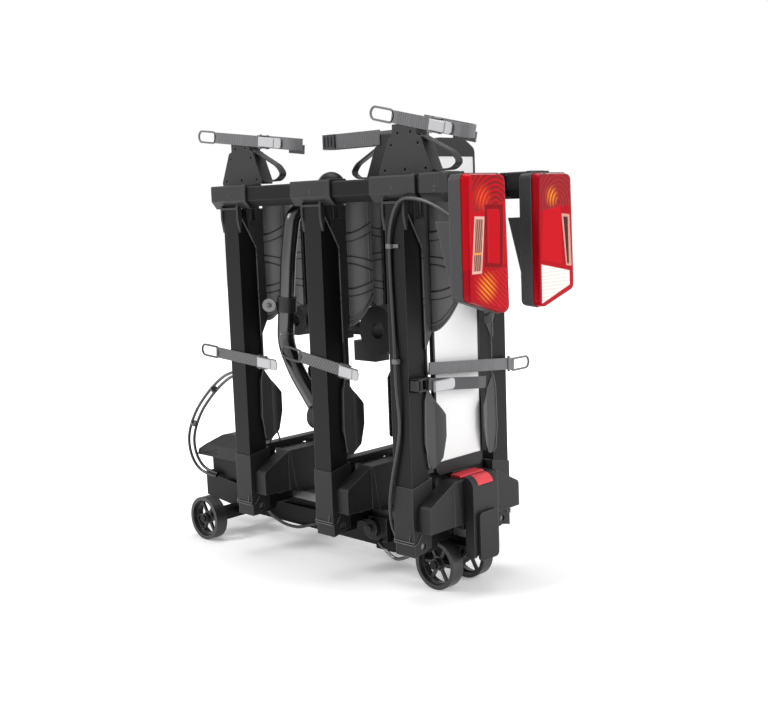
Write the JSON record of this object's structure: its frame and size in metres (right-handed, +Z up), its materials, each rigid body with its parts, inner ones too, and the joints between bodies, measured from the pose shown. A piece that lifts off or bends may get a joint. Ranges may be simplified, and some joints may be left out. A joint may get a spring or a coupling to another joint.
{
  "type": "folding bike carrier",
  "caption": "Folding tow-ball bike carrier stood upright: hinged wings with wheel trays, straps and lamps on a wheeled beam",
  "frame": {"origin": "centre of the tow-ball socket", "axes": "+X from the car rearwards along the beam, +Y to the far wing, +Z up; the carrier stands folded on its wheels"},
  "size_m": [0.836, 0.317, 0.8048],
  "materials": {
    "beam_paint": "matt black powder coat on steel",
    "rail_paint": "fine-textured black powder coat on aluminium",
    "gloss_paint": "satin black paint on steel tube",
    "bare_aluminium": "brushed and anodised",
    "zinc_steel": "zinc plated",
    "black_wire": "black coated wire",
    "black_plastic": "moulded, fine spark texture",
    "tray_plastic": "moulded, satin",
    "lamp_plastic": "moulded, satin charcoal",
    "wheel_plastic": "hard moulded plastic",
    "strap_plastic": "ribbed elastomer",
    "grey_plastic": "satin grey",
    "red_plastic": "moulded red",
    "red_lens": "clear red moulding",
    "white_plate": "bare white sheet",
    "soft_rubber": "moulded rubber",
    "cable_rubber": "black sheath"
  },
  "bodies": {
    "base": {"main_beam": "beam_paint", "upper_tube": "bare_aluminium", "hinge_arms": "beam_paint", "hinge_pins": "zinc_steel", "hinge_covers": "black_plastic", "rear_block": "black_plastic", "axles": "zinc_steel", "coupling_head": "beam_paint", "ball_cup": "zinc_steel", "coupling_hood": "black_plastic", "tilt_pivot": "black_plastic", "stand_wire": "black_wire", "mast": "beam_paint", "folded_holder": "black_plastic", "upper_arm": "gloss_paint", "beam_cable": "cable_rubber", "outer_loom": "cable_rubber"},
    "near_wing": {"near_rails": "rail_paint", "near_shoes": "black_plastic", "near_bar": "rail_paint", "near_fittings": "black_plastic", "near_trays": "tray_plastic", "near_lamp_housing": "lamp_plastic", "near_lens": "red_lens", "near_wheel_straps": "strap_plastic", "lamp_cable": "cable_rubber"},
    "far_wing": {"far_rails": "rail_paint", "far_shoes": "black_plastic", "far_bar": "rail_paint", "far_fittings": "black_plastic", "far_trays": "tray_plastic", "far_lamp_housing": "lamp_plastic", "far_lens": "red_lens", "far_wheel_strap": "strap_plastic"},
    "holder_left": {"near_holder_left": "black_plastic", "near_top_strap_left": "strap_plastic"},
    "holder_right": {"near_holder_right": "black_plastic", "near_top_strap_right": "strap_plastic"},
    "holder_middle": {"far_holder_middle": "black_plastic", "far_top_strap_middle": "strap_plastic"},
    "frame_holder": {"lower_arm": "gloss_paint", "arm_collar": "black_plastic", "frame_jaw": "soft_rubber"},
    "plate": {"plate_frame": "black_plastic", "number_plate": "white_plate"},
    "coupling_lever": {"coupling_lever": "black_plastic"},
    "lock_knob": {"lock_knob": "grey_plastic"},
    "tilt_release": {"tilt_release": "red_plastic"},
    "fold_button": {"fold_button": "red_plastic"},
    "foot_pedal": {"foot_pedal": "black_plastic"},
    "wheel_rear_near": {"wheel_rear_near": "wheel_plastic"},
    "wheel_rear_far": {"wheel_rear_far": "wheel_plastic"},
    "wheel_front_near": {"wheel_front_near": "wheel_plastic"},
    "wheel_front_far": {"wheel_front_far": "wheel_plastic"},
    "top_latch_left": {"top_latch_left": "grey_plastic"},
    "top_latch_right": {"top_latch_right": "grey_plastic"},
    "top_latch_middle": {"top_latch_middle": "grey_plastic"},
    "wheel_latch_left": {"wheel_latch_left": "grey_plastic"},
    "wheel_latch_middle": {"wheel_latch_middle": "grey_plastic"},
    "wheel_latch_right": {"wheel_latch_right": "grey_plastic"}
  },
  "joints": [
    {"name": "near_wing_fold", "type": "hinge", "parent": "base", "child": "near_wing", "pos_m": [0.199, -0.103, 0.02], "axis": [1, 0, 0], "range_deg": [0, 90]},
    {"name": "far_wing_fold", "type": "hinge", "parent": "base", "child": "far_wing", "pos_m": [0.199, 0.103, 0.02], "axis": [1, 0, 0], "range_deg": [-90, 0]},
    {"name": "wheel_rear_near_spin", "type": "hinge", "parent": "base", "child": "wheel_rear_near", "pos_m": [0.608, -0.0395, -0.02925], "axis": [0, 1, 0], "continuous": true},
    {"name": "wheel_rear_far_spin", "type": "hinge", "parent": "base", "child": "wheel_rear_far", "pos_m": [0.608, 0.0395, -0.02925], "axis": [0, 1, 0], "continuous": true},
    {"name": "wheel_front_near_spin", "type": "hinge", "parent": "base", "child": "wheel_front_near", "pos_m": [0.055, -0.1055, -0.02925], "axis": [0, 1, 0], "continuous": true},
    {"name": "wheel_front_far_spin", "type": "hinge", "parent": "base", "child": "wheel_front_far", "pos_m": [0.055, 0.1055, -0.02925], "axis": [0, 1, 0], "continuous": true},
    {"name": "foot_pedal_swing", "type": "hinge", "parent": "base", "child": "foot_pedal", "pos_m": [0.6753, 0, -0.004], "axis": [0, 1, 0], "range_deg": [0, 85], "stiffness_Nm_per_rad": 0.25, "springref_deg": -17.19},
    {"name": "tilt_release_lift", "type": "hinge", "parent": "base", "child": "tilt_release", "pos_m": [0.66511, 0, 0.12526], "axis": [0, -1, 0], "range_deg": [0, 18], "stiffness_Nm_per_rad": 0.12, "springref_deg": -11.46},
    {"name": "fold_button_lift", "type": "hinge", "parent": "base", "child": "fold_button", "pos_m": [0.65075, 0, 0.12355], "axis": [0, 1, 0], "range_deg": [0, 22], "stiffness_Nm_per_rad": 0.1, "springref_deg": -11.46},
    {"name": "coupling_lever_lift", "type": "hinge", "parent": "base", "child": "coupling_lever", "pos_m": [0.099, 0, 0.068], "axis": [0, -1, 0], "range_deg": [0, 40]},
    {"name": "holder_left_pull", "type": "slide", "parent": "near_wing", "child": "holder_left", "axis": [0, 0, 1], "range_m": [0, 0.1]},
    {"name": "holder_right_pull", "type": "slide", "parent": "near_wing", "child": "holder_right", "axis": [0, 0, 1], "range_m": [0, 0.1]},
    {"name": "holder_middle_pull", "type": "slide", "parent": "far_wing", "child": "holder_middle", "axis": [0, 0, 1], "range_m": [0, 0.1]},
    {"name": "top_latch_left_lift", "type": "hinge", "parent": "holder_left", "child": "top_latch_left", "pos_m": [0.31394, -0.0958, 0.68762], "axis": [0.1194, 0, 0.9928], "range_deg": [0, 60]},
    {"name": "top_latch_right_lift", "type": "hinge", "parent": "holder_right", "child": "top_latch_right", "pos_m": [0.70933, -0.0958, 0.68442], "axis": [0.2181, 0, 0.9759], "range_deg": [0, 60]},
    {"name": "top_latch_middle_lift", "type": "hinge", "parent": "holder_middle", "child": "top_latch_middle", "pos_m": [0.3455, 0.0958, 0.695], "axis": [0, 0, 1], "range_deg": [0, 60]},
    {"name": "wheel_latch_left_lift", "type": "hinge", "parent": "near_wing", "child": "wheel_latch_left", "pos_m": [0.31427, -0.1298, 0.2976], "axis": [0.0715, 0, 0.9974], "range_deg": [0, 60]},
    {"name": "wheel_latch_middle_lift", "type": "hinge", "parent": "near_wing", "child": "wheel_latch_middle", "pos_m": [0.52061, -0.1298, 0.29545], "axis": [0.153, 0, 0.9882], "range_deg": [0, 60]},
    {"name": "wheel_latch_right_lift", "type": "hinge", "parent": "near_wing", "child": "wheel_latch_right", "pos_m": [0.6513, -0.0365, 0.283], "axis": [0, 0, 1], "range_deg": [0, 60]},
    {"name": "lock_knob_turn", "type": "hinge", "parent": "frame_holder", "child": "lock_knob", "pos_m": [0.26919, -0.0997, 0.4026], "axis": [0.7001, -0.7141, 0], "range_deg": [0, 90]},
    {"name": "arm_reach", "type": "slide", "parent": "base", "child": "frame_holder", "axis": [-0.124, 0, -0.9923], "range_m": [0, 0.04]},
    {"name": "plate_lift", "type": "slide", "parent": "base", "child": "plate", "axis": [0, 0, 1], "range_m": [0, 0.025]}
  ]
}
